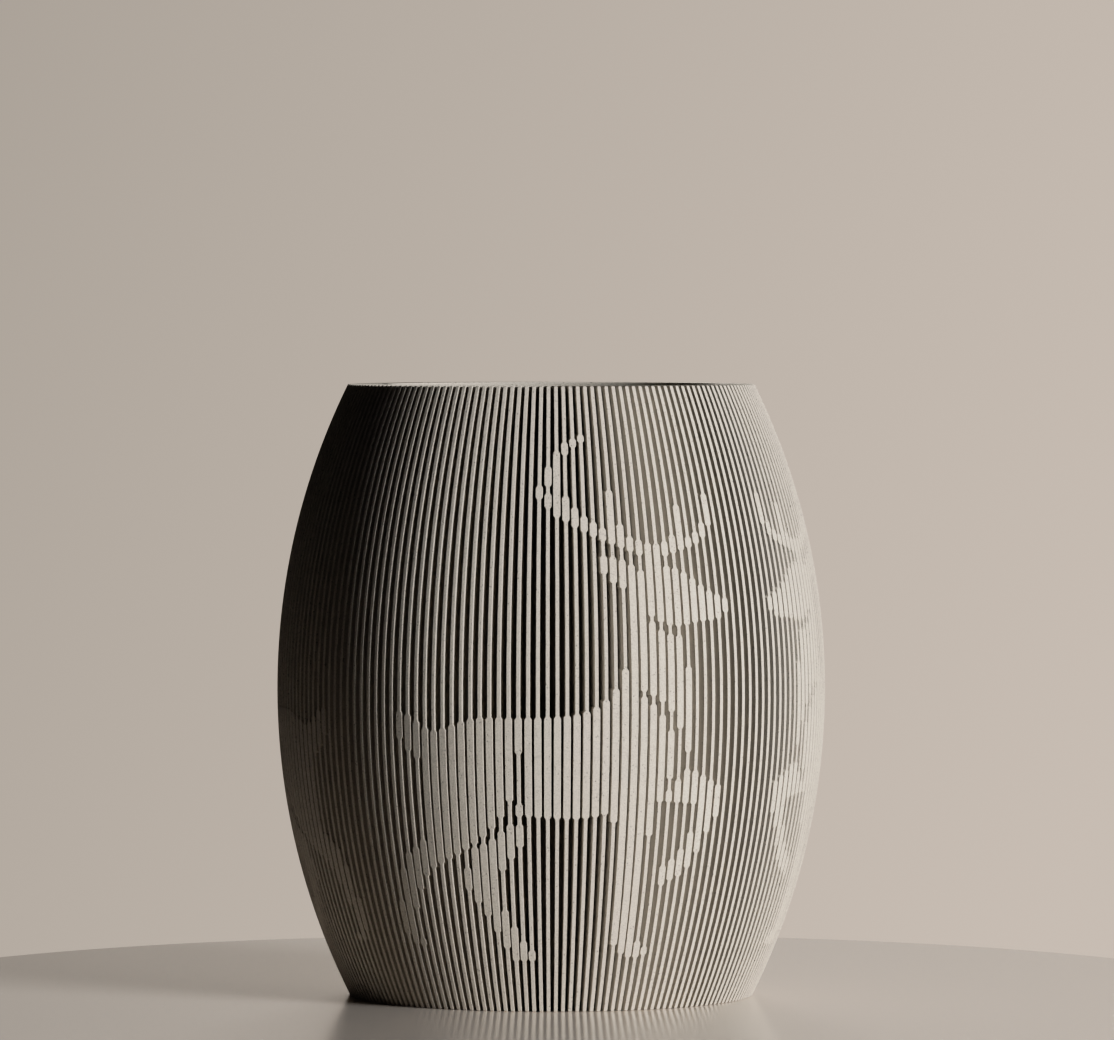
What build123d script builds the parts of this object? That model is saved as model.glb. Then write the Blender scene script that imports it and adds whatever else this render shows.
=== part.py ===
from build123d import *
import math
import os

# A barrel-shaped open vase. A plain inner wall carries upright fins all round, and four standing
# stags appear where stretches of the fins are thicker. The stags face each other in mirrored pairs.
# Frame: millimetres, +Z up, origin at the centre of the foot. The first stag is centred on -Y and
# looks towards +X.

# Barrel
HEIGHT = 200.0
BASE_RADIUS = 65.8
BELLY_RADIUS = 89.5
BELLY_HEIGHT = 100.0
RIM_RADIUS = 66.3

# Core behind the fins
WALL = 2.2
FLOOR_THICKNESS = 3.0

# Fins
FIN_DEPTH = 10.8
FIN_THICKNESS = 1.3
FIGURE_THICKNESS = 2.4
RAMP_HEIGHT = 0.75
GROOVE_ANGLE = 0.25
PANELS = 4
FINS_PER_PANEL = 45

# The stag is drawn on a flat sheet that wraps round one panel: degrees across, millimetres up.
SHEET_WIDTH = 140.6
SHEET_HEIGHT = 167.4
FIGURE_FOOT_MARGIN = 17.0
FIGURE_RIM_MARGIN = 15.6
SHORTEST_STRETCH = 1.4
SHORTEST_BREAK = 0.9

# How far a cutting shape reaches past the vase
CUT_MARGIN = 1.0

PANEL_ANGLE = 360.0 / PANELS
PITCH = PANEL_ANGLE / FINS_PER_PANEL
SHEET_MM_PER_DEGREE = SHEET_WIDTH / PANEL_ANGLE
FIGURE_SCALE = (HEIGHT - FIGURE_FOOT_MARGIN - FIGURE_RIM_MARGIN) / SHEET_HEIGHT

# The part of the stag that a figure fin carries, by the fin's angle from the stag's middle
ZONES = [
    (-35.0, "hind_hoof"),
    (-29.0, "tail"),
    (-21.0, "rump"),
    (-9.0, "hind_leg"),
    (9.0, "flank"),
    (15.0, "ear"),
    (19.0, "neck"),
    (23.0, "antler_base"),
    (29.0, "chest"),
    (37.0, "foreleg"),
    (45.0, "nose"),
]


def on_sheet(point):
    """A sheet point (degrees, millimetres) in flat millimetres."""
    degrees, height = point
    return (degrees * SHEET_MM_PER_DEGREE, height)


def outline(*stretches):
    """A closed face. Each stretch is a smooth run through its points, and corners lie between runs."""
    edges = []
    for index, stretch in enumerate(stretches):
        following = stretches[(index + 1) % len(stretches)]
        points = [on_sheet(point) for point in stretch + following[:1]]
        if len(points) == 2:
            edges.append(Line(*points))
        else:
            edges.append(Spline(*points))
    return make_face(edges)


def branch(*knots):
    """An antler branch: round-ended runs between knots of (degrees, millimetres, width)."""
    runs = []
    for start, end in zip(knots, knots[1:]):
        rounds = []
        for degrees, height, width in (start, end):
            centre = on_sheet((degrees, height))
            rounds.append(Pos(*centre) * Circle(width / 2))
        edges = [edge for face in rounds for edge in face.edges()]
        runs.append(make_hull(edges))
    return runs


def head():
    """Muzzle, jaw, brow, crown and the ear that points back."""
    return [outline(
        [(14.6, 119.0)],
        [(15.5, 111.5)],
        [(19.3, 111.3), (22.0, 108.5), (26.0, 107.1), (31.0, 108.4), (36.0, 109.2)],
        [(38.2, 111.5), (38.8, 113.4), (38.0, 115.3)],
        [(36.0, 116.6), (30.0, 121.8), (26.5, 124.9)],
        [(23.2, 125.8)],
        [(23.2, 130.5)],
        [(19.3, 130.5)],
        [(19.3, 125.0)],
        [(17.8, 124.4)],
        [(16.0, 126.4), (12.5, 128.7)],
        [(9.0, 129.2)],
        [(9.0, 126.0), (10.0, 123.9), (12.0, 121.1)],
    )]


def neck():
    """Throat and chest down to the shoulder line, and the mane that rises from the back."""
    return [outline(
        [(15.0, 119.5), (15.1, 108.0), (14.4, 96.0)],
        [(12.0, 86.0)],
        [(16.0, 86.0)],
        [(18.0, 86.7), (22.0, 83.2), (24.0, 80.1), (26.0, 74.7)],
        [(28.0, 67.1)],
        [(29.0, 67.1), (29.6, 78.0), (28.0, 93.8)],
        [(26.6, 103.7)],
        [(24.0, 104.3), (22.0, 105.7)],
        [(18.9, 110.8)],
    )]


def torso():
    """Back, rump and haunch; the flank line is a break between the haunch and the belly."""
    return [outline(
        [(-28.9, 71.0)],
        [(-28.0, 74.3)],
        [(-27.0, 73.4), (-23.0, 75.0), (-18.0, 77.6), (-12.0, 78.1), (0.0, 78.5), (5.0, 79.6), (10.0, 83.7),
         (12.8, 88.2)],
        [(16.6, 88.5)],
        [(16.6, 85.0)],
        [(18.0, 84.6), (20.0, 82.2), (22.0, 78.7), (24.0, 73.8), (25.3, 66.5)],
        [(24.0, 58.7)],
        [(22.7, 56.3)],
        [(22.7, 51.5)],
        [(21.9, 51.3)],
        [(20.0, 40.5)],
        [(18.5, 36.0)],
        [(12.1, 44.9)],
        [(10.0, 47.6), (6.0, 46.4), (0.0, 46.2)],
        [(-8.9, 47.2)],
        [(-8.9, 48.8)],
        [(-8.0, 50.6)],
        [(-7.4, 55.0), (-7.0, 62.0)],
        [(-7.6, 69.3)],
        [(-8.2, 66.0), (-8.8, 57.5), (-10.0, 51.9), (-12.0, 46.7), (-16.0, 40.3), (-20.0, 36.2)],
        [(-29.0, 29.3)],
    )]


def tail():
    """The short upturned tail."""
    return [outline(
        [(-28.0, 74.5)],
        [(-29.0, 74.9), (-32.0, 78.6), (-34.6, 79.3)],
        [(-35.4, 76.0), (-34.0, 71.2), (-31.0, 66.2)],
        [(-28.0, 63.5)],
    )]


def far_hind_leg():
    """The hind leg behind: haunch, hock, shank and a hoof that points forward."""
    return [outline(
        [(-27.5, 44.0)],
        [(-29.2, 41.0)],
        [(-30.0, 38.5), (-32.0, 36.1), (-34.0, 34.2)],
        [(-36.0, 27.8)],
        [(-38.3, 17.0), (-38.6, 12.5), (-38.0, 8.0)],
        [(-36.0, 4.9)],
        [(-33.5, 4.2)],
        [(-33.5, 6.0)],
        [(-35.6, 7.4)],
        [(-34.0, 16.4), (-32.0, 22.9), (-30.0, 27.4)],
        [(-27.5, 30.5)],
    )]


def near_hind_leg():
    """The hind leg in front: stifle, hock, shank and a hoof that points forward."""
    return [outline(
        [(-20.4, 24.0), (-20.7, 26.8), (-20.0, 29.8)],
        [(-18.4, 36.3), (-16.0, 37.7), (-14.0, 39.3), (-12.0, 41.8)],
        [(-10.0, 44.0)],
        [(-6.6, 44.0)],
        [(-6.6, 40.6)],
        [(-8.0, 37.2), (-10.0, 33.4), (-12.0, 29.6)],
        [(-13.4, 23.0)],
        [(-12.0, 16.2), (-10.0, 10.8), (-8.0, 6.1)],
        [(-5.1, 2.2)],
        [(-5.1, 0.2)],
        [(-10.6, 0.2)],
        [(-12.0, 4.3)],
        [(-16.0, 14.8)],
    )]


def standing_foreleg():
    """The foreleg that carries the stag."""
    return [outline(
        [(11.9, 46.0)],
        [(13.0, 38.0)],
        [(13.6, 5.8)],
        [(16.0, 2.3), (19.0, 0.9), (22.0, 1.7)],
        [(23.0, 2.6)],
        [(22.0, 3.9)],
        [(20.0, 5.8)],
        [(18.6, 10.0)],
        [(18.4, 36.0)],
        [(19.6, 44.0)],
    )]


def raised_foreleg():
    """The bent foreleg: thigh, knee and a folded shank."""
    return [outline(
        [(21.8, 51.6)],
        [(30.0, 50.3)],
        [(31.4, 47.5)],
        [(30.0, 40.9), (28.0, 35.5), (26.0, 32.3)],
        [(23.1, 29.7)],
        [(23.1, 23.6)],
        [(26.0, 25.9), (30.0, 29.8), (32.0, 34.6)],
        [(36.0, 45.8)],
        [(37.4, 49.5), (37.2, 53.5)],
        [(36.0, 55.8)],
        [(28.4, 61.9)],
        [(24.0, 54.6)],
        [(21.8, 53.0)],
    )]


def antlers():
    """Two antlers, each a beam with side branches."""
    rear_beam = branch((21.0, 130.3, 4.4), (14.0, 134.2, 3.8), (10.0, 136.0, 3.2), (4.5, 140.6, 4.2),
                       (1.0, 146.0, 4.4), (-1.3, 154.7, 4.4), (0.2, 160.2, 3.2), (2.0, 163.6, 2.4),
                       (6.3, 166.6, 1.6))
    rear_tip = branch((1.5, 142.2, 3.8), (-4.4, 150.0, 2.8))
    rear_tine = branch((13.2, 136.1, 3.8), (12.0, 149.0, 1.6))
    front_beam = branch((21.0, 130.3, 4.4), (26.0, 132.3, 3.8), (31.0, 133.7, 2.7), (34.2, 137.0, 2.9),
                        (35.8, 141.0, 3.0), (36.2, 147.6, 1.8))
    front_tine = branch((27.0, 134.0, 3.8), (28.0, 144.1, 1.8))
    return rear_beam + rear_tip + rear_tine + front_beam + front_tine


def figure():
    """Every face of the stag on its sheet. The faces overlap where the animal is joined."""
    body = head() + neck() + torso() + tail()
    legs = far_hind_leg() + near_hind_leg() + standing_foreleg() + raised_foreleg()
    return body + legs + antlers()


def joined(stretches):
    """Sorted stretches with overlaps and hairline breaks closed and mere specks dropped."""
    merged = []
    for low, high in sorted(stretches):
        if merged and low - merged[-1][1] < SHORTEST_BREAK:
            merged[-1][1] = max(merged[-1][1], high)
        else:
            merged.append([low, high])
    return [(low, high) for low, high in merged if high - low > SHORTEST_STRETCH]


def figure_stretches(faces, azimuth):
    """Heights on the vase between which the fin at this angle from the stag's middle is thick."""
    across = on_sheet((azimuth, 0))[0]
    fin_line = Edge.make_line((across, -SHEET_HEIGHT), (across, 2 * SHEET_HEIGHT))
    stretches = []
    for face in faces:
        shared = fin_line.intersect(face) or ShapeList()
        for piece in shared.edges():
            heights = [FIGURE_FOOT_MARGIN + FIGURE_SCALE * end.Y for end in (piece @ 0, piece @ 1)]
            stretches.append((min(heights), max(heights)))
    return joined(stretches)


def barrel_curve(inset):
    """The barrel's side in the radius-height plane, moved towards the axis by an inset."""
    foot = (BASE_RADIUS - inset, 0)
    belly = (BELLY_RADIUS - inset, BELLY_HEIGHT)
    rim = (RIM_RADIUS - inset, HEIGHT)
    return ThreePointArc(foot, belly, rim)


def barrel_reach():
    """A radius that clears the barrel at its widest."""
    return barrel_curve(0).bounding_box().max.X + CUT_MARGIN


def barrel_band(outer_inset, inner_inset):
    """The section between two barrel curves, upright in the XZ plane."""
    outer = barrel_curve(outer_inset)
    inner = barrel_curve(inner_inset)
    top = Line(outer @ 1, inner @ 1)
    foot = Line(inner @ 0, outer @ 0)
    return Plane.XZ * make_face([outer, top, inner, foot])


def inner_wall():
    """The closed barrel wall that the fins stand on."""
    return revolve(barrel_band(FIN_DEPTH, FIN_DEPTH + WALL), Axis.Z)


def floor():
    """The bottom, a disc inside the foot of the wall."""
    cavity = revolve(barrel_core(), Axis.Z)
    slab = Pos(0, 0, FLOOR_THICKNESS / 2) * Cylinder(barrel_reach(), FLOOR_THICKNESS)
    return cavity & slab


def barrel_core():
    """The half section of the hollow inside the wall."""
    side = barrel_curve(FIN_DEPTH + WALL)
    top = Line(side @ 1, (0, HEIGHT))
    axis = Line((0, HEIGHT), (0, 0))
    foot = Line((0, 0), side @ 0)
    return Plane.XZ * make_face([side, top, axis, foot])


def fin_sector():
    """One pitch of the fin band less the groove, centred on +X: the most that a fin may fill."""
    sweep = PITCH - GROOVE_ANGLE
    sector = revolve(barrel_band(0, FIN_DEPTH), Axis.Z, revolution_arc=sweep)
    return Rot(0, 0, -sweep / 2) * sector


def front_outline(stretches):
    """A fin seen from the front: thin, and thick along each stretch with a ramp at both its ends."""
    thin = FIN_THICKNESS / 2
    thick = FIGURE_THICKNESS / 2
    half_ramp = RAMP_HEIGHT / 2
    side = [(thin, -CUT_MARGIN)]
    for low, high in stretches:
        side.append((thin, low - half_ramp))
        side.append((thick, low + half_ramp))
        side.append((thick, high - half_ramp))
        side.append((thin, high + half_ramp))
    side.append((thin, HEIGHT + CUT_MARGIN))
    other_side = [(-across, height) for across, height in reversed(side)]
    return make_face(Polyline(*side, *other_side, close=True))


def fin(sector, stretches):
    """One fin on +X."""
    front = Plane.YZ * front_outline(stretches)
    return sector & extrude(front, barrel_reach())


def station_angles():
    """The angles of one panel's fins from the panel's middle."""
    middle = (FINS_PER_PANEL - 1) / 2
    return [(index - middle) * PITCH for index in range(FINS_PER_PANEL)]


def round_the_vase(shape, azimuth):
    """Copies of a fin on every panel; each second panel is mirrored, so its stag looks the other way."""
    copies = []
    for panel in range(PANELS):
        hand = 1 if panel % 2 == 0 else -1
        angle = -90.0 + panel * PANEL_ANGLE + hand * azimuth
        copies.append(Rot(0, 0, angle) * shape)
    return copies


def zone_name(azimuth):
    """What a fin at this angle from the stag's middle carries."""
    for limit, name in ZONES:
        if azimuth < limit:
            return name
    return ZONES[-1][1]


def solids_of(shapes):
    """One compound of all the solids in the shapes."""
    return Compound([solid for shape in shapes for solid in shape.solids()])


def build():
    """Every node of the vase by name."""
    nodes = {"inner_wall": inner_wall(), "floor": floor()}
    faces = figure()
    sector = fin_sector()
    plain = []
    for number, azimuth in enumerate(station_angles(), start=1):
        stretches = figure_stretches(faces, azimuth)
        copies = round_the_vase(fin(sector, stretches), azimuth)
        if stretches:
            nodes[f"fin_{number:02d}_{zone_name(azimuth)}"] = solids_of(copies)
        else:
            plain.extend(copies)
    nodes["plain_fins"] = solids_of(plain)
    return nodes


def main():
    """Writes one STEP file for each node."""
    os.makedirs("parts", exist_ok=True)
    for name, shape in build().items():
        export_step(shape, os.path.join("parts", f"{name}.step"))


if __name__ == "__main__":
    main()
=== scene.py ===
import logging
import math
import random
from collections.abc import Callable, Iterable
from dataclasses import dataclass, field
from enum import Enum

import bmesh
import bpy
from mathutils import Matrix, Vector


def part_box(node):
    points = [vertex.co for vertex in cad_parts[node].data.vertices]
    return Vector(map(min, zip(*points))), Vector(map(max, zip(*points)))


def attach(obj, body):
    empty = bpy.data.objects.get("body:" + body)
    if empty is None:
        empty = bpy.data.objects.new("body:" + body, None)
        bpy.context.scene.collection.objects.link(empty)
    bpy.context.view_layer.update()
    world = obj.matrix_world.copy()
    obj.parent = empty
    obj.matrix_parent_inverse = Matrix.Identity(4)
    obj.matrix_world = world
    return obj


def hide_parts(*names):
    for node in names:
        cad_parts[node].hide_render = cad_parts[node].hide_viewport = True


"""Looks of a printed barrel vase whose upright fins thicken to draw four standing stags."""

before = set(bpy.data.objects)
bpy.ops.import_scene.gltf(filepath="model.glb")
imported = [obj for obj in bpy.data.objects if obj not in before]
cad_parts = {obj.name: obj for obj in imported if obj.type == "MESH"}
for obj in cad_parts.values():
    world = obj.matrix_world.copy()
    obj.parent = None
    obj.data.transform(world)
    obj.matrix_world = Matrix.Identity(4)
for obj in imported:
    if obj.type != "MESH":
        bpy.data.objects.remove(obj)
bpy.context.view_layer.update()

LOG = logging.getLogger("vase")
MM = 0.001
PITCH_DEGREES = 2.0
BODY = "root"
SAME_PLACE = 1e-6
BELLY_SPAN = 0.3

Colour = tuple[float, float, float]
Point = tuple[float, float]


class Side(Enum):
    """Which run of a fin's corners is meant, seen from the front of the vase."""

    LEFT = -1
    RIGHT = 1


@dataclass(frozen=True)
class Barrel:
    """The barrel's side as a circular arc in the radius-height plane, in metres."""

    foot_radius: float
    height: float
    arc_radius: float
    arc_centre: Point

    @staticmethod
    def through(foot: Point, belly: Point, rim: Point) -> "Barrel":
        """Fits the arc.

        Args:
            foot: Radius and height at the foot.
            belly: Radius and height of any point near the belly.
            rim: Radius and height at the rim.

        Returns:
            The barrel whose side passes through the three points.
        """
        (ax, ay), (bx, by), (cx, cy) = foot, belly, rim
        turn = 2 * (ax * (by - cy) + bx * (cy - ay) + cx * (ay - by))
        a, b, c = ax * ax + ay * ay, bx * bx + by * by, cx * cx + cy * cy
        across = (a * (by - cy) + b * (cy - ay) + c * (ay - by)) / turn
        up = (a * (cx - bx) + b * (ax - cx) + c * (bx - ax)) / turn
        return Barrel(ax, cy, math.hypot(ax - across, ay - up), (across, up))

    def radius(self, height: float) -> float:
        """The side's radius at a height."""
        across, up = self.arc_centre
        return across + math.sqrt(self.arc_radius**2 - (height - up) ** 2)


@dataclass
class CadFins:
    """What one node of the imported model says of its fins: where they stand and how wide they are."""

    node: str
    azimuths: list[float] = field(default_factory=list)
    front: list[Point] = field(default_factory=list)
    root: list[Point] = field(default_factory=list)

    def read(self, outer: Barrel, depth: float) -> "CadFins":
        """Reads the fins' stations and the half widths of the first one.

        Args:
            outer: The barrel that the fins' fronts lie on.
            depth: How far the fins stand out of the wall.

        Returns:
            This object, filled in.
        """
        near = 0.1 * depth
        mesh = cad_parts[self.node].data
        stations: dict[int, list[tuple[float, float, float]]] = {}
        for vertex in mesh.vertices:
            x, y, z = vertex.co
            azimuth = math.degrees(math.atan2(x, -y))
            step = round(azimuth / PITCH_DEGREES)
            off = math.radians(azimuth - step * PITCH_DEGREES)
            radius = math.hypot(x, y)
            stations.setdefault(step, []).append((z, radius * math.sin(off), outer.radius(z) - radius))
        self.azimuths = [step * PITCH_DEGREES for step in sorted(stations)]
        first = stations[min(stations)]
        self.front = self.widest((z, t) for z, t, inset in first if inset < near)
        self.root = self.widest((z, t) for z, t, inset in first if inset > depth - near)
        return self

    @staticmethod
    def widest(points: Iterable[Point]) -> list[Point]:
        """The half width at each height that the points reach.

        Args:
            points: Heights and how far across each point lies.

        Returns:
            Heights with their half widths, from the foot up.
        """
        by_height: dict[float, float] = {}
        for height, across in points:
            level = round(height, 6)
            by_height[level] = max(by_height.get(level, 0.0), abs(across))
        return sorted(by_height.items())

    @staticmethod
    def at(levels: list[Point], height: float) -> float:
        """The half width at a height, straight between the levels.

        Args:
            levels: Heights with their half widths, from the foot up.
            height: The height asked for.

        Returns:
            The half width there.
        """
        below = levels[0]
        for level in levels:
            if level[0] >= height:
                span = level[0] - below[0]
                share = (height - below[0]) / span if span > 0 else 1.0
                return below[1] + share * (level[1] - below[1])
            below = level
        return levels[-1][1]


def clear_selection() -> None:
    """Leaves nothing selected, in object mode."""
    if bpy.context.object and bpy.context.object.mode != "OBJECT":
        bpy.ops.object.mode_set(mode="OBJECT")
    bpy.ops.object.select_all(action="DESELECT")


def only(obj: bpy.types.Object) -> None:
    """Makes one object the selected and active one.

    Args:
        obj: The object.
    """
    clear_selection()
    obj.select_set(True)
    bpy.context.view_layer.objects.active = obj


def select_vertices(obj: bpy.types.Object, wanted: Callable[[Vector], bool]) -> None:
    """Selects, in edit mode, the vertices that a test accepts, with the edges and faces between them.

    Args:
        obj: The object in edit mode.
        wanted: A function of a vertex's place that says whether it is selected.
    """
    mesh = bmesh.from_edit_mesh(obj.data)
    for element in (*mesh.faces, *mesh.edges, *mesh.verts):
        element.select = False
    for vertex in mesh.verts:
        vertex.select = wanted(vertex.co)
    mesh.select_flush(True)
    bmesh.update_edit_mesh(obj.data)


def settle(obj: bpy.types.Object, smooth_degrees: float) -> None:
    """Brings a finished piece to the origin with outward faces and smooth shading.

    Args:
        obj: The piece.
        smooth_degrees: Edges sharper than this stay crisp.
    """
    only(obj)
    bpy.ops.object.transform_apply(location=True, rotation=True, scale=True)
    bpy.ops.object.mode_set(mode="EDIT")
    bpy.ops.mesh.select_all(action="SELECT")
    bpy.ops.mesh.remove_doubles(threshold=SAME_PLACE)
    bpy.ops.mesh.normals_make_consistent(inside=False)
    bpy.ops.object.mode_set(mode="OBJECT")
    bpy.ops.object.shade_smooth_by_angle(angle=math.radians(smooth_degrees))


def enter(piece: bpy.types.Object, node: str, finish: bpy.types.Material) -> None:
    """Dresses a piece and enters it for the CAD node that it stands for.

    Args:
        piece: The finished piece.
        node: The CAD node that it replaces.
        finish: Its material.
    """
    piece.data.materials.clear()
    piece.data.materials.append(finish)
    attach(piece, BODY)
    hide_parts(node)
    LOG.info("%s: %d faces, for %s", piece.name, len(piece.data.polygons), node)


@dataclass
class FinMaker:
    """Models one fin as a printed blade that follows the barrel and thickens where its CAD fin does.

    The corner is the front corners' bevel, the edge the chamfer at foot and rim, the step the most
    between two rings, the wander the print's sideways drift, the sink how far the root reaches into the
    wall, and the trim what the print shrinks on each side.
    """

    outer: Barrel
    depth: float
    corner: float = 0.10 * MM
    edge: float = 0.18 * MM
    step: float = 4.0 * MM
    least_step: float = 0.05 * MM
    least_slope: float = 0.02 * MM
    wander: float = 0.02 * MM
    sink: float = 0.4 * MM
    trim: float = 0.06 * MM

    def levels(self, fins: CadFins) -> list[float]:
        """The heights at which the blade gets a ring of corners.

        Args:
            fins: What the CAD node says of its fins.

        Returns:
            Heights from just over the foot to just under the rim.
        """
        top = self.outer.height
        marks = {round(self.edge, 6), round(top - self.edge, 6)}
        for (low, narrow), (high, wide) in zip(fins.front, fins.front[1:]):
            if abs(narrow - wide) > self.least_slope:
                marks.update((low, high))
        ordered = sorted(mark for mark in marks if self.edge <= mark <= top - self.edge)
        filled = [ordered[0]]
        for mark in ordered[1:]:
            gap = mark - filled[-1]
            if gap < self.least_step:
                continue
            parts = max(1, math.ceil(gap / self.step))
            base = filled[-1]
            filled.extend(base + gap * part / parts for part in range(1, parts + 1))
        return filled

    def section(self, name: str, front: float, root: float, height: float) -> bpy.types.Object:
        """The blade's plan at its foot: a rectangle with rounded front corners.

        Args:
            name: The piece's name.
            front: Half width at the front.
            root: Half width at the root.
            height: Where the plan lies.

        Returns:
            The object, left in edit mode.
        """
        clear_selection()
        middle = -(self.outer.radius(height) - self.depth / 2 - self.sink / 2)
        bpy.ops.mesh.primitive_plane_add(size=1, location=(0, 0, 0))
        obj = bpy.context.object
        obj.name = name
        bpy.ops.object.mode_set(mode="EDIT")
        bpy.ops.transform.resize(value=(2 * front, self.depth + self.sink, 1))
        bpy.ops.transform.translate(value=(0, middle, height))
        select_vertices(obj, lambda place: place.y > middle)
        bpy.ops.transform.resize(value=(root / front, 1, 1))
        select_vertices(obj, lambda place: place.y < middle)
        bpy.ops.mesh.bevel(offset=self.corner, segments=2, affect="VERTICES")
        bpy.ops.mesh.select_all(action="SELECT")
        return obj

    def widen(self, obj: bpy.types.Object, height: float, change: float, is_front: bool) -> None:
        """Moves the top ring's left and right corners apart or together.

        Args:
            obj: The object in edit mode.
            height: The ring's height.
            change: How far each side moves outwards.
            is_front: Whether the front corners move, or the root's.
        """
        if abs(change) < SAME_PLACE:
            return
        middle = -(self.outer.radius(height) - self.depth / 2)
        for side in Side:
            select_vertices(
                obj,
                lambda place: abs(place.z - height) < SAME_PLACE
                and place.x * side.value > 0
                and (place.y < middle) == is_front,
            )
            bpy.ops.transform.translate(value=(side.value * change, 0, 0))

    def blade(self, fins: CadFins, chance: random.Random) -> bpy.types.Object:
        """One fin at the front of the vase, extruded ring by ring from its foot.

        Args:
            fins: What the CAD node says of its fins.
            chance: The seeded source of the print's slight wander.

        Returns:
            The fin, in object mode.
        """
        marks = self.levels(fins)
        start = 0.0
        front = fins.at(fins.front, start) - self.trim
        root = fins.at(fins.root, start) - self.trim
        obj = self.section(f"blade_{fins.node}", front - self.edge, root, start)
        at_height, at_radius, drift = start, self.outer.radius(start) - self.edge, 0.0
        is_at = (front - self.edge, root)
        for mark in (*marks, self.outer.height):
            is_end = mark == self.outer.height
            bpy.ops.object.mode_set(mode="OBJECT")
            bpy.ops.object.mode_set(mode="EDIT")
            select_vertices(obj, lambda place: abs(place.z - at_height) < SAME_PLACE)
            new_radius = self.outer.radius(mark) - (self.edge if is_end else 0.0)
            new_drift = 0.0 if is_end else chance.uniform(-self.wander, self.wander)
            move = (new_drift - drift, at_radius - new_radius, mark - at_height)
            bpy.ops.mesh.extrude_region_move(TRANSFORM_OT_translate={"value": move})
            width = fins.at(fins.front, mark) - self.trim - (self.edge if is_end else 0.0)
            wanted = (width, fins.at(fins.root, mark) - self.trim)
            self.widen(obj, mark, wanted[0] - is_at[0], True)
            self.widen(obj, mark, wanted[1] - is_at[1], False)
            at_height, at_radius, drift, is_at = mark, new_radius, new_drift, wanted
        bpy.ops.object.mode_set(mode="OBJECT")
        return obj


@dataclass
class FinRing:
    """All the fins: one piece for each CAD node, each a blade copied to its stations round the vase."""

    outer: Barrel
    depth: float
    seed: int = 7
    smooth_degrees: float = 20

    def build(self, finish: bpy.types.Material) -> None:
        """Models, copies, joins and enters the fins of every fin node.

        Args:
            finish: The printed plastic.
        """
        maker = FinMaker(self.outer, self.depth)
        chance = random.Random(self.seed)
        for node in sorted(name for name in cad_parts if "fin" in name):
            fins = CadFins(node).read(self.outer, self.depth)
            blade = maker.blade(fins, chance)
            piece = self.spread(blade, fins)
            settle(piece, self.smooth_degrees)
            enter(piece, node, finish)

    def spread(self, blade: bpy.types.Object, fins: CadFins) -> bpy.types.Object:
        """Copies a blade to its stations and joins the copies.

        Args:
            blade: The fin at the front of the vase, which is used up.
            fins: Where its copies stand.

        Returns:
            The joined piece.
        """
        copies = []
        for azimuth in fins.azimuths:
            copy = bpy.data.objects.new(f"{blade.name}_{len(copies)}", blade.data.copy())
            copy.data.transform(Matrix.Rotation(math.radians(azimuth), 4, "Z"))
            bpy.context.collection.objects.link(copy)
            copies.append(copy)
        bpy.data.objects.remove(blade)
        clear_selection()
        for copy in copies:
            copy.select_set(True)
        bpy.context.view_layer.objects.active = copies[0]
        bpy.ops.object.join()
        piece = bpy.context.object
        piece.name = f"printed_{fins.node}"
        return piece


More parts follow.
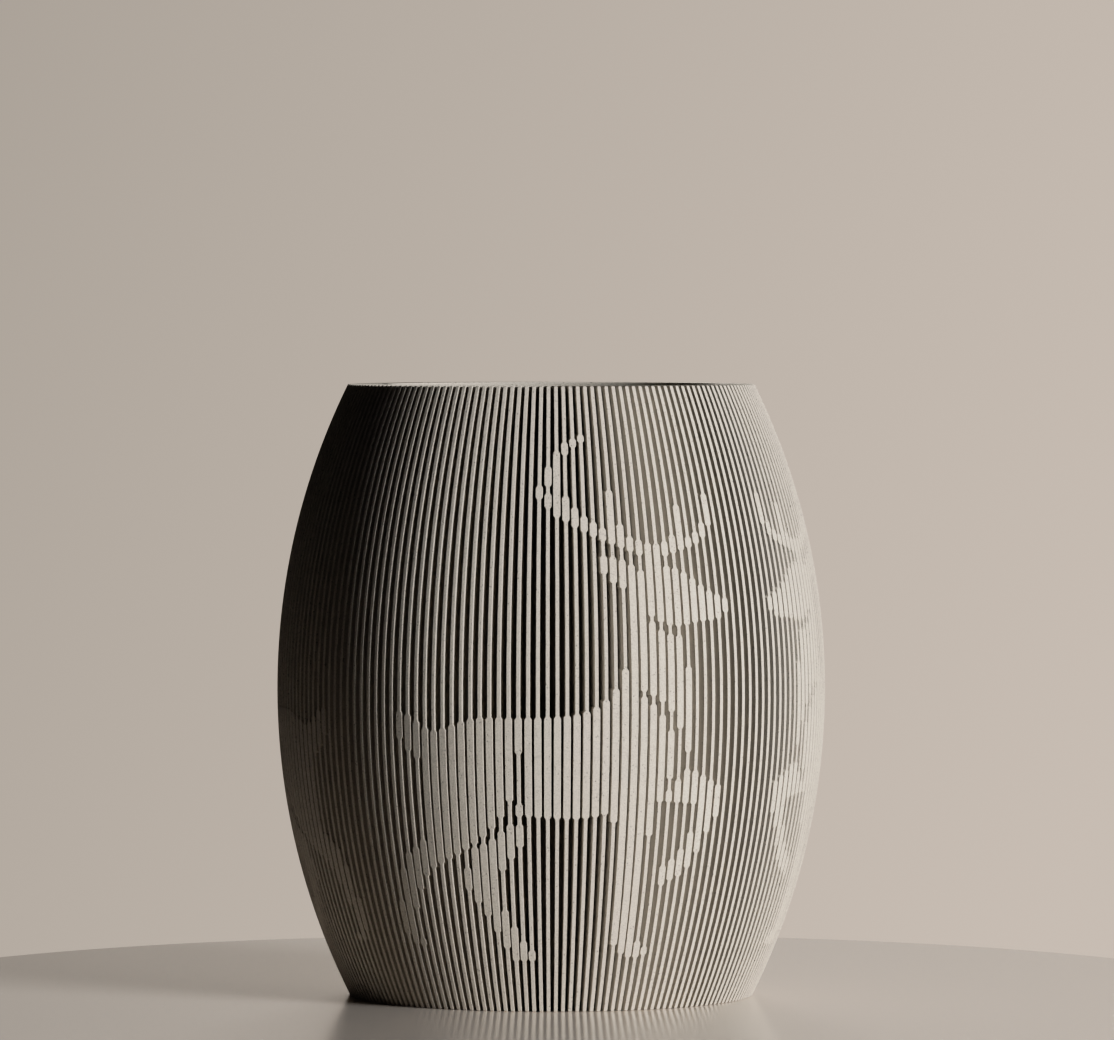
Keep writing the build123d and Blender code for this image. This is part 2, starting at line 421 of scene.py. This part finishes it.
@dataclass
class Core:
    """The plain barrel wall behind the fins and the floor inside its foot."""

    wall_outer: Barrel
    wall: float
    around: int = 180
    rings: int = 40
    lip: float = 0.3 * MM
    smooth_degrees: float = 40

    def outline(self) -> list[Point]:
        """The wall's section: up its outside, over the rim and down its inside.

        Returns:
            Radius and height of each corner, with a small chamfer at every edge.
        """
        top = self.wall_outer.height
        outline = []
        for index in range(self.rings + 1):
            height = self.lip + (top - 2 * self.lip) * index / self.rings
            outline.append((self.wall_outer.radius(height), height))
        outline.append((self.wall_outer.radius(top) - self.lip, top))
        outline.append((self.wall_outer.radius(top) - self.wall + self.lip, top))
        for index in range(self.rings, -1, -1):
            height = self.lip + (top - 2 * self.lip) * index / self.rings
            outline.append((self.wall_outer.radius(height) - self.wall, height))
        outline.append((self.wall_outer.radius(0) - self.wall + self.lip, 0.0))
        outline.append((self.wall_outer.radius(0) - self.lip, 0.0))
        return outline

    def shell(self) -> bpy.types.Object:
        """The wall, drawn ring by ring along its outline.

        Returns:
            The wall, in object mode.
        """
        outline = self.outline()
        clear_selection()
        bpy.ops.mesh.primitive_circle_add(vertices=self.around, radius=outline[0][0], location=(0, 0, 0))
        obj = bpy.context.object
        obj.name = "printed_inner_wall"
        bpy.ops.object.mode_set(mode="EDIT")
        bpy.ops.mesh.select_all(action="SELECT")
        bpy.ops.transform.translate(value=(0, 0, outline[0][1]))
        for (radius, height), (next_radius, next_height) in zip(outline, (*outline[1:], outline[0])):
            bpy.ops.mesh.extrude_region_move(
                TRANSFORM_OT_translate={"value": (0, 0, next_height - height)}
            )
            share = next_radius / radius
            bpy.ops.transform.resize(value=(share, share, 1), center_override=(0, 0, next_height))
        bpy.ops.object.mode_set(mode="OBJECT")
        return obj

    def slab(self, node: str) -> bpy.types.Object:
        """The floor: a disc with a small chamfer below and a skimmed rim above.

        Args:
            node: The CAD node that it stands for.

        Returns:
            The floor, in object mode.
        """
        low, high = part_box(node)
        radius, thickness = high.x, high.z - low.z
        middle = low.z + thickness / 2
        clear_selection()
        bpy.ops.mesh.primitive_cylinder_add(
            vertices=self.around, radius=radius, depth=thickness, location=(0, 0, middle)
        )
        obj = bpy.context.object
        obj.name = "printed_floor"
        bpy.ops.object.transform_apply(location=True, rotation=True, scale=True)
        bpy.ops.object.mode_set(mode="EDIT")
        select_vertices(obj, lambda place: place.z > middle)
        bpy.ops.mesh.inset(thickness=2 * self.lip, depth=0)
        bpy.ops.mesh.inset(thickness=self.lip, depth=-0.5 * self.lip)
        select_vertices(obj, lambda place: place.z < middle)
        bpy.ops.mesh.inset(thickness=self.lip, depth=0)
        outer_ring = radius - self.lip / 2
        select_vertices(obj, lambda place: place.z < middle and place.xy.length > outer_ring)
        bpy.ops.transform.translate(value=(0, 0, 0.5 * self.lip))
        bpy.ops.object.mode_set(mode="OBJECT")
        return obj

    def build(self, finish: bpy.types.Material, floor_finish: bpy.types.Material) -> None:
        """Models and enters the wall and the floor.

        Args:
            finish: The wall's printed plastic.
            floor_finish: The same plastic laid as flat lines.
        """
        for node, piece, material in (
            ("inner_wall", self.shell(), finish),
            ("floor", self.slab("floor"), floor_finish),
        ):
            settle(piece, self.smooth_degrees)
            enter(piece, node, material)


class Groups:
    """Node groups that the finishes share. Each is built once."""

    BAND_STRETCH = 0.04
    PATCHES_PER_METRE = 260.0

    @staticmethod
    def start(name: str, inputs: dict[str, float], outputs: dict[str, str]) -> bpy.types.NodeTree:
        """An empty group with a vector input, float inputs and named outputs.

        Args:
            name: The group's name.
            inputs: Float inputs and their defaults.
            outputs: Outputs and their socket types.

        Returns:
            The group, with its input and output nodes named "in" and "out".
        """
        tree = bpy.data.node_groups.new(name, "ShaderNodeTree")
        tree.interface.new_socket("Place", in_out="INPUT", socket_type="NodeSocketVector")
        for key, value in inputs.items():
            socket = tree.interface.new_socket(key, in_out="INPUT", socket_type="NodeSocketFloat")
            socket.default_value = value
        for key, kind in outputs.items():
            tree.interface.new_socket(key, in_out="OUTPUT", socket_type=kind)
        tree.nodes.new("NodeGroupInput").name = "in"
        tree.nodes.new("NodeGroupOutput").name = "out"
        return tree

    @staticmethod
    def maths(
        tree: bpy.types.NodeTree, operation: str, *values: float | bpy.types.NodeSocket
    ) -> bpy.types.NodeSocket:
        """A maths node.

        Args:
            tree: Where it goes.
            operation: The node's operation.
            values: Its inputs, as numbers or sockets.

        Returns:
            Its output.
        """
        node = tree.nodes.new("ShaderNodeMath")
        node.operation = operation
        for socket, value in zip(node.inputs, values):
            if isinstance(value, bpy.types.NodeSocket):
                tree.links.new(value, socket)
            else:
                socket.default_value = value
        return node.outputs[0]

    @staticmethod
    def noise(
        tree: bpy.types.NodeTree,
        place: bpy.types.NodeSocket,
        scale: float | bpy.types.NodeSocket,
        detail: float,
    ) -> bpy.types.NodeSocket:
        """A noise texture's height.

        Args:
            tree: Where it goes.
            place: The socket that it reads its place from.
            scale: Its scale, as a number or a socket.
            detail: Its octaves.

        Returns:
            Its factor output.
        """
        node = tree.nodes.new("ShaderNodeTexNoise")
        node.inputs["Detail"].default_value = detail
        tree.links.new(place, node.inputs["Vector"])
        if isinstance(scale, bpy.types.NodeSocket):
            tree.links.new(scale, node.inputs["Scale"])
        else:
            node.inputs["Scale"].default_value = scale
        return node.outputs["Fac"]

    @classmethod
    def layers(cls) -> bpy.types.NodeTree:
        """Rounded print layers stacked up the object, with bands where the layers ran fuller.

        Returns:
            The group, with the outputs "Ridge" and "Band".
        """
        tree = cls.start(
            "print_layers",
            {"Layers per metre": 4000.0, "Bands per metre": 330.0},
            {"Ridge": "NodeSocketFloat", "Band": "NodeSocketFloat"},
        )
        source, sink = tree.nodes["in"].outputs, tree.nodes["out"].inputs
        split = tree.nodes.new("ShaderNodeSeparateXYZ")
        tree.links.new(source["Place"], split.inputs[0])
        turns = cls.maths(tree, "MULTIPLY", split.outputs["Z"], source["Layers per metre"])
        wave = cls.maths(tree, "SINE", cls.maths(tree, "MULTIPLY", turns, math.tau))
        tree.links.new(cls.maths(tree, "MULTIPLY_ADD", wave, 0.5, 0.5), sink["Ridge"])
        flat = tree.nodes.new("ShaderNodeCombineXYZ")
        for axis in ("X", "Y"):
            slow = cls.maths(tree, "MULTIPLY", split.outputs[axis], cls.BAND_STRETCH)
            tree.links.new(slow, flat.inputs[axis])
        tree.links.new(split.outputs["Z"], flat.inputs["Z"])
        tree.links.new(cls.noise(tree, flat.outputs[0], source["Bands per metre"], 3.0), sink["Band"])
        return tree

    @classmethod
    def grain(cls) -> bpy.types.NodeTree:
        """Sandy grain of a matte filament, and the small pits between its specks.

        Returns:
            The group, with the outputs "Grain" and "Pits".
        """
        tree = cls.start(
            "sandy_grain",
            {"Grains per metre": 2000.0, "Pits per metre": 800.0, "Pit size": 0.27},
            {"Grain": "NodeSocketFloat", "Pits": "NodeSocketFloat"},
        )
        source, sink = tree.nodes["in"].outputs, tree.nodes["out"].inputs
        tree.links.new(cls.noise(tree, source["Place"], source["Grains per metre"], 3.0), sink["Grain"])
        cells = tree.nodes.new("ShaderNodeTexVoronoi")
        tree.links.new(source["Place"], cells.inputs["Vector"])
        tree.links.new(source["Pits per metre"], cells.inputs["Scale"])
        edge = cls.maths(tree, "SUBTRACT", source["Pit size"], cells.outputs["Distance"])
        depth = cls.maths(tree, "DIVIDE", edge, source["Pit size"])
        patches = cls.noise(tree, source["Place"], cls.PATCHES_PER_METRE, 2.0)
        pick = cls.maths(tree, "GREATER_THAN", patches, 0.5)
        clear = cls.maths(tree, "MULTIPLY", cls.maths(tree, "MAXIMUM", depth, 0.0), pick)
        tree.links.new(clear, sink["Pits"])
        return tree

    @classmethod
    def grooves(cls, outer: Barrel, depth: float) -> bpy.types.NodeTree:
        """How deep in a groove a place lies: 0 at the fins' fronts, 1 at the wall, 0 inside the wall; it
        masks the painted groove light.

        The fins' tops lie over the input "Top" and count as 0 too.

        Args:
            outer: The barrel that the fins' fronts lie on.
            depth: How far the fins stand out of the wall.

        Returns:
            The group.
        """
        tree = cls.start(
            "painted_groove_light_mask",
            {
                "Arc radius": outer.arc_radius,
                "Arc across": outer.arc_centre[0],
                "Arc up": outer.arc_centre[1],
                "Depth": depth,
                "Top": outer.height - 0.3 * MM,
                "Last share": 1.05,
            },
            {"Depth": "NodeSocketFloat"},
        )
        source, sink = tree.nodes["in"].outputs, tree.nodes["out"].inputs
        split = tree.nodes.new("ShaderNodeSeparateXYZ")
        tree.links.new(source["Place"], split.inputs[0])
        rise = cls.maths(tree, "SUBTRACT", split.outputs["Z"], source["Arc up"])
        square = cls.maths(tree, "MULTIPLY", source["Arc radius"], source["Arc radius"])
        left = cls.maths(tree, "SUBTRACT", square, cls.maths(tree, "MULTIPLY", rise, rise))
        front = cls.maths(tree, "ADD", cls.maths(tree, "SQRT", left), source["Arc across"])
        across = cls.maths(tree, "MULTIPLY", split.outputs["X"], split.outputs["X"])
        along = cls.maths(tree, "MULTIPLY", split.outputs["Y"], split.outputs["Y"])
        radius = cls.maths(tree, "SQRT", cls.maths(tree, "ADD", across, along))
        share = cls.maths(tree, "DIVIDE", cls.maths(tree, "SUBTRACT", front, radius), source["Depth"])
        below_top = cls.maths(tree, "LESS_THAN", split.outputs["Z"], source["Top"])
        before_wall = cls.maths(tree, "LESS_THAN", share, source["Last share"])
        outside = cls.maths(tree, "MULTIPLY", before_wall, below_top)
        clamp = cls.maths(tree, "MINIMUM", cls.maths(tree, "MAXIMUM", share, 0.0), 1.0)
        tree.links.new(cls.maths(tree, "MULTIPLY", clamp, outside), sink["Depth"])
        return tree

    @classmethod
    def lines(cls) -> bpy.types.NodeTree:
        """Side-by-side lines of a flat printed face, laid at 45 degrees.

        Returns:
            The group, with the output "Ridge".
        """
        tree = cls.start("laid_lines", {"Lines per metre": 2200.0}, {"Ridge": "NodeSocketFloat"})
        source, sink = tree.nodes["in"].outputs, tree.nodes["out"].inputs
        split = tree.nodes.new("ShaderNodeSeparateXYZ")
        tree.links.new(source["Place"], split.inputs[0])
        slant = cls.maths(tree, "ADD", split.outputs["X"], split.outputs["Y"])
        turns = cls.maths(tree, "MULTIPLY", slant, source["Lines per metre"])
        wave = cls.maths(tree, "SINE", cls.maths(tree, "MULTIPLY", turns, math.tau * math.sqrt(0.5)))
        tree.links.new(cls.maths(tree, "MULTIPLY_ADD", wave, 0.5, 0.5), sink["Ridge"])
        return tree


class Lay(Enum):
    """How a printed face was laid."""

    UPRIGHT = "print_layers"
    FLAT = "laid_lines"


@dataclass(frozen=True)
class PrintedPlastic:
    """A matte mineral-filled filament: pale warm grey, sandy, with faint layers and small pits with
    painted shade in them.

    The pale and deep colours lie on the grain's crests and troughs. From the given shares of the
    groove's depth a flat painted groove light takes over on the fins' flanks and the wall between them:
    painted light, lighter than the grain on the fins, standing in for light bounced into the grooves and
    shone through the thin fins.
    """

    name: str
    lay: Lay
    pale: Colour = (0.618, 0.561, 0.484)
    deep: Colour = (0.46, 0.418, 0.36)
    painted_pit_shade: Colour = (0.16, 0.14, 0.12)
    painted_groove_light: Colour = (0.66, 0.612, 0.55)
    grain_span: Point = (0.28, 0.6)
    band_span: Point = (0.45, 0.72)
    painted_groove_light_span: Point = (0.02, 0.18)
    band_share: float = 0.22
    pit_shade_share: float = 0.9
    ridge_share: float = 0.35
    roughness: float = 0.66
    grain_roughness: float = 0.25
    gloss: float = 0.3
    relief: float = 0.14 * MM

    def make(self, groups: dict[str, bpy.types.NodeTree]) -> bpy.types.Material:
        """Builds the material.

        Args:
            groups: The shared node groups by name.

        Returns:
            The material.
        """
        material = bpy.data.materials.new(self.name)
        material.use_nodes = True
        tree = material.node_tree
        shader = tree.nodes["Principled BSDF"]
        shader.inputs["Specular IOR Level"].default_value = self.gloss
        place = tree.nodes.new("ShaderNodeTexCoord").outputs["Object"]
        laid = self.place_group(tree, groups[self.lay.value], place).outputs
        grain = self.place_group(tree, groups["sandy_grain"], place).outputs
        groove = self.place_group(tree, groups["painted_groove_light_mask"], place).outputs
        band = laid["Band"] if "Band" in laid else grain["Grain"]
        tone = self.ramp(tree, grain["Grain"], *self.grain_span)
        colour = self.mix(tree, tone, self.deep, self.pale)
        fuller = Groups.maths(tree, "MULTIPLY", self.ramp(tree, band, *self.band_span), self.band_share)
        banded = self.mix(tree, fuller, colour, self.deep)
        # Painted shade: the pits are coloured near black for the shade inside the small holes; the bump
        # also sinks them.
        pit_shade_amount = Groups.maths(tree, "MULTIPLY", grain["Pits"], self.pit_shade_share)
        with_pit_shade = self.mix(tree, pit_shade_amount, banded, self.painted_pit_shade)
        # Painted light: the fins' flanks and the wall between them take a flat colour by groove depth,
        # standing in for light bounced into the grooves.
        painted_light_share = self.ramp(tree, groove["Depth"], *self.painted_groove_light_span)
        shown = self.mix(tree, painted_light_share, with_pit_shade, self.painted_groove_light)
        tree.links.new(shown, shader.inputs["Base Color"])
        rough = Groups.maths(tree, "MULTIPLY_ADD", grain["Grain"], self.grain_roughness, self.roughness)
        tree.links.new(rough, shader.inputs["Roughness"])
        height = Groups.maths(tree, "MULTIPLY_ADD", laid["Ridge"], self.ridge_share, grain["Grain"])
        bump = tree.nodes.new("ShaderNodeBump")
        bump.inputs["Distance"].default_value = self.relief
        tree.links.new(Groups.maths(tree, "SUBTRACT", height, grain["Pits"]), bump.inputs["Height"])
        tree.links.new(bump.outputs["Normal"], shader.inputs["Normal"])
        return material

    @staticmethod
    def place_group(
        tree: bpy.types.NodeTree, group: bpy.types.NodeTree, place: bpy.types.NodeSocket
    ) -> bpy.types.Node:
        """Puts a shared group in a material.

        Args:
            tree: The material's nodes.
            group: The shared group.
            place: The socket that the group reads its place from.

        Returns:
            The group's node.
        """
        node = tree.nodes.new("ShaderNodeGroup")
        node.node_tree = group
        tree.links.new(place, node.inputs["Place"])
        return node

    @staticmethod
    def ramp(
        tree: bpy.types.NodeTree, value: bpy.types.NodeSocket, low: float, high: float
    ) -> bpy.types.NodeSocket:
        """Stretches a value between two limits to 0..1.

        Args:
            tree: Where the node goes.
            value: The value.
            low: What becomes 0.
            high: What becomes 1.

        Returns:
            The stretched value.
        """
        node = tree.nodes.new("ShaderNodeMapRange")
        tree.links.new(value, node.inputs["Value"])
        node.inputs["From Min"].default_value = low
        node.inputs["From Max"].default_value = high
        return node.outputs["Result"]

    @staticmethod
    def mix(
        tree: bpy.types.NodeTree,
        share: bpy.types.NodeSocket,
        first: Colour | bpy.types.NodeSocket,
        second: Colour | bpy.types.NodeSocket,
    ) -> bpy.types.NodeSocket:
        """Mixes two colours.

        Args:
            tree: Where the node goes.
            share: How much of the second colour shows.
            first: A colour or a socket.
            second: A colour or a socket.

        Returns:
            The mixed colour.
        """
        node = tree.nodes.new("ShaderNodeMix")
        node.data_type = "RGBA"
        tree.links.new(share, node.inputs["Factor"])
        for socket, value in ((node.inputs[6], first), (node.inputs[7], second)):
            if isinstance(value, bpy.types.NodeSocket):
                tree.links.new(value, socket)
            else:
                socket.default_value = (*value, 1.0)
        return node.outputs[2]


@dataclass
class Studio:
    """The plain floor, the soft light, the camera and the tone curve.

    Azimuths run from -Y towards +X, in degrees, and the pairs of the tone curve are light in and out.
    """

    height: float
    floor_radius: float = 0.237
    floor_thickness: float = 0.02
    floor_colour: Colour = (0.715, 0.635, 0.562)
    floor_roughness: float = 0.16
    camera_distance: float = 2.548
    camera_height: float = 0.2283
    camera_azimuth: float = -1.26
    camera_turn: float = -0.043
    camera_pitch: float = 1.638
    lens: float = 251.5
    lamp_distance: float = 2.2
    lamp_size: float = 0.8
    key_azimuth: float = 48.5
    key_elevation: float = 10.0
    key_power: float = 80.0
    back_azimuth: float = 176.0
    back_elevation: float = 7.0
    back_power: float = 62.0
    air_left: Colour = (0.366, 0.321, 0.276)
    air_right: Colour = (0.628, 0.538, 0.456)
    air_slant: float = -0.43
    air_span: Point = (-0.10, 0.12)
    gloss_span: Point = (0.5, 0.9)
    fill: float = 0.02
    black: Point = (0.02, 0.0095)
    toe: Point = (0.10, 0.082)
    middle: Point = (0.45, 0.445)
    shoulder: Point = (0.75, 0.635)
    white: Point = (1.0, 0.715)
    unchanged: Point = (0.45, 0.45)
    green: Point = (0.665, 0.642)
    blue: Point = (0.617, 0.583)

    def floor(self) -> bpy.types.Object:
        """A plain pale round floor with a soft gloss.

        Returns:
            The floor, whose top lies at the foot of the vase.
        """
        clear_selection()
        bpy.ops.mesh.primitive_cylinder_add(
            vertices=256,
            radius=self.floor_radius,
            depth=self.floor_thickness,
            location=(0, 0, -self.floor_thickness / 2),
        )
        obj = bpy.context.object
        obj.name = "studio_floor"
        bpy.ops.object.transform_apply(location=True, rotation=True, scale=True)
        material = bpy.data.materials.new("pale_floor")
        material.use_nodes = True
        shader = material.node_tree.nodes["Principled BSDF"]
        shader.inputs["Base Color"].default_value = (*self.floor_colour, 1)
        shader.inputs["Roughness"].default_value = self.floor_roughness
        obj.data.materials.append(material)
        return obj

    def lamp(self, name: str, azimuth: float, elevation: float, power: float) -> bpy.types.Object:
        """A square soft lamp that looks at the middle of the vase.

        Args:
            name: The lamp's name.
            azimuth: Where it stands.
            elevation: Its height over the middle of the vase, in degrees.
            power: Its watts.

        Returns:
            The lamp.
        """
        data = bpy.data.lights.new(name, "AREA")
        data.size = self.lamp_size
        data.energy = power
        lamp = bpy.data.objects.new(name, data)
        middle = Vector((0, 0, self.height / 2))
        turn, rise = math.radians(azimuth), math.radians(elevation)
        flat = Vector((math.sin(turn), -math.cos(turn), 0)) * math.cos(rise)
        lamp.location = (flat + Vector((0, 0, math.sin(rise)))) * self.lamp_distance + middle
        lamp.rotation_euler = (middle - lamp.location).to_track_quat("-Z", "Y").to_euler()
        lamp.visible_camera = False
        lamp.visible_glossy = False
        bpy.context.collection.objects.link(lamp)
        return lamp

    def world(self) -> None:
        """Pale air that grows lighter to the right, seen by the camera and by the floor's gloss."""
        world = bpy.data.worlds.new("pale_air")
        bpy.context.scene.world = world
        world.use_nodes = True
        tree = world.node_tree
        direction = tree.nodes.new("ShaderNodeSeparateXYZ")
        tree.links.new(tree.nodes.new("ShaderNodeTexCoord").outputs["Generated"], direction.inputs[0])
        slant = Groups.maths(
            tree, "MULTIPLY_ADD", direction.outputs["Z"], self.air_slant, direction.outputs["X"]
        )
        across = PrintedPlastic.ramp(tree, slant, *self.air_span)
        colour = PrintedPlastic.mix(tree, across, self.air_left, self.air_right)
        shown = tree.nodes["Background"]
        tree.links.new(colour, shown.inputs["Color"])
        dim = tree.nodes.new("ShaderNodeBackground")
        dim.inputs["Color"].default_value = (*self.air_right, 1)
        dim.inputs["Strength"].default_value = self.fill
        rays = tree.nodes.new("ShaderNodeLightPath").outputs
        behind = PrintedPlastic.ramp(tree, direction.outputs["Y"], *self.gloss_span)
        glossy = Groups.maths(tree, "MULTIPLY", rays["Is Glossy Ray"], behind)
        seen = Groups.maths(tree, "MAXIMUM", rays["Is Camera Ray"], glossy)
        mix = tree.nodes.new("ShaderNodeMixShader")
        tree.links.new(seen, mix.inputs[0])
        tree.links.new(dim.outputs[0], mix.inputs[1])
        tree.links.new(shown.outputs[0], mix.inputs[2])
        tree.links.new(mix.outputs[0], tree.nodes["World Output"].inputs["Surface"])

    def camera(self) -> None:
        """A long lens a little above the rim's height."""
        data = bpy.data.cameras.new("camera")
        data.lens = self.lens
        camera = bpy.data.objects.new("camera", data)
        turn = math.radians(self.camera_azimuth)
        camera.location = (
            math.sin(turn) * self.camera_distance,
            -math.cos(turn) * self.camera_distance,
            self.camera_height,
        )
        pitch = math.radians(90 - self.camera_pitch)
        camera.rotation_euler = (pitch, 0, turn + math.radians(self.camera_turn))
        bpy.context.collection.objects.link(camera)
        bpy.context.scene.camera = camera

    def tone(self) -> None:
        """Sets a film-like tone curve: a toe that closes the deep shadows and a soft, warm shoulder."""
        view = bpy.context.scene.view_settings
        view.view_transform = "Standard"
        view.use_curve_mapping = True
        green, blue, together = tuple(view.curve_mapping.curves)[1:]
        together.points[-1].location = self.white
        for place in (self.black, self.toe, self.middle, self.shoulder):
            together.points.new(*place)
        for curve, place in ((green, self.green), (blue, self.blue)):
            curve.points.new(*self.unchanged)
            curve.points.new(*place)
        view.curve_mapping.update()

    def build(self) -> None:
        """Sets the whole stage."""
        self.tone()
        self.camera()
        self.world()
        self.floor()
        self.lamp("key", self.key_azimuth, self.key_elevation, self.key_power)
        self.lamp("back", self.back_azimuth, self.back_elevation, self.back_power)


def measure_barrel(node: str) -> tuple[Barrel, Barrel, Barrel]:
    """Fits the barrel's sides to a fin node and the wall node.

    Args:
        node: A node whose fins stand on the barrel.

    Returns:
        The fronts' barrel, the wall's outer side and its inner side.
    """
    sides = []
    for name, pick in ((node, max), ("inner_wall", max), ("inner_wall", min)):
        rings: dict[float, float] = {}
        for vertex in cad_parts[name].data.vertices:
            level = round(vertex.co.z, 5)
            radius = vertex.co.xy.length
            rings[level] = pick(rings.get(level, radius), radius)
        low, high = min(rings), max(rings)
        middle = (low + high) / 2
        around_middle = [z for z in rings if abs(z - middle) < BELLY_SPAN * (high - low)]
        belly = max(around_middle, key=lambda z: rings[z])
        sides.append(Barrel.through((rings[low], low), (rings[belly], belly), (rings[high], high)))
    return sides[0], sides[1], sides[2]


def main() -> None:
    """Builds the vase, dresses it and sets the stage."""
    logging.basicConfig(level=logging.INFO, format="%(name)s %(message)s")
    outer, wall_outer, wall_inner = measure_barrel("fin_23_flank")
    depth = outer.foot_radius - wall_outer.foot_radius
    wall = wall_outer.foot_radius - wall_inner.foot_radius
    LOG.info("fin depth %.2f mm, wall %.2f mm", depth / MM, wall / MM)
    Studio(outer.height).build()
    trees = (Groups.layers(), Groups.grain(), Groups.lines(), Groups.grooves(outer, depth))
    groups = {tree.name: tree for tree in trees}
    fins = PrintedPlastic("printed_fins", Lay.UPRIGHT).make(groups)
    # The wall's painted groove light is a flat tone set for how light the groove floor shows.
    wall_face = PrintedPlastic("printed_wall", Lay.UPRIGHT, painted_groove_light=(0.56, 0.50, 0.435)).make(groups)
    floor_face = PrintedPlastic("printed_floor", Lay.FLAT).make(groups)
    Core(wall_outer, wall).build(wall_face, floor_face)
    FinRing(outer, depth).build(fins)


if __name__ == "__main__":
    main()
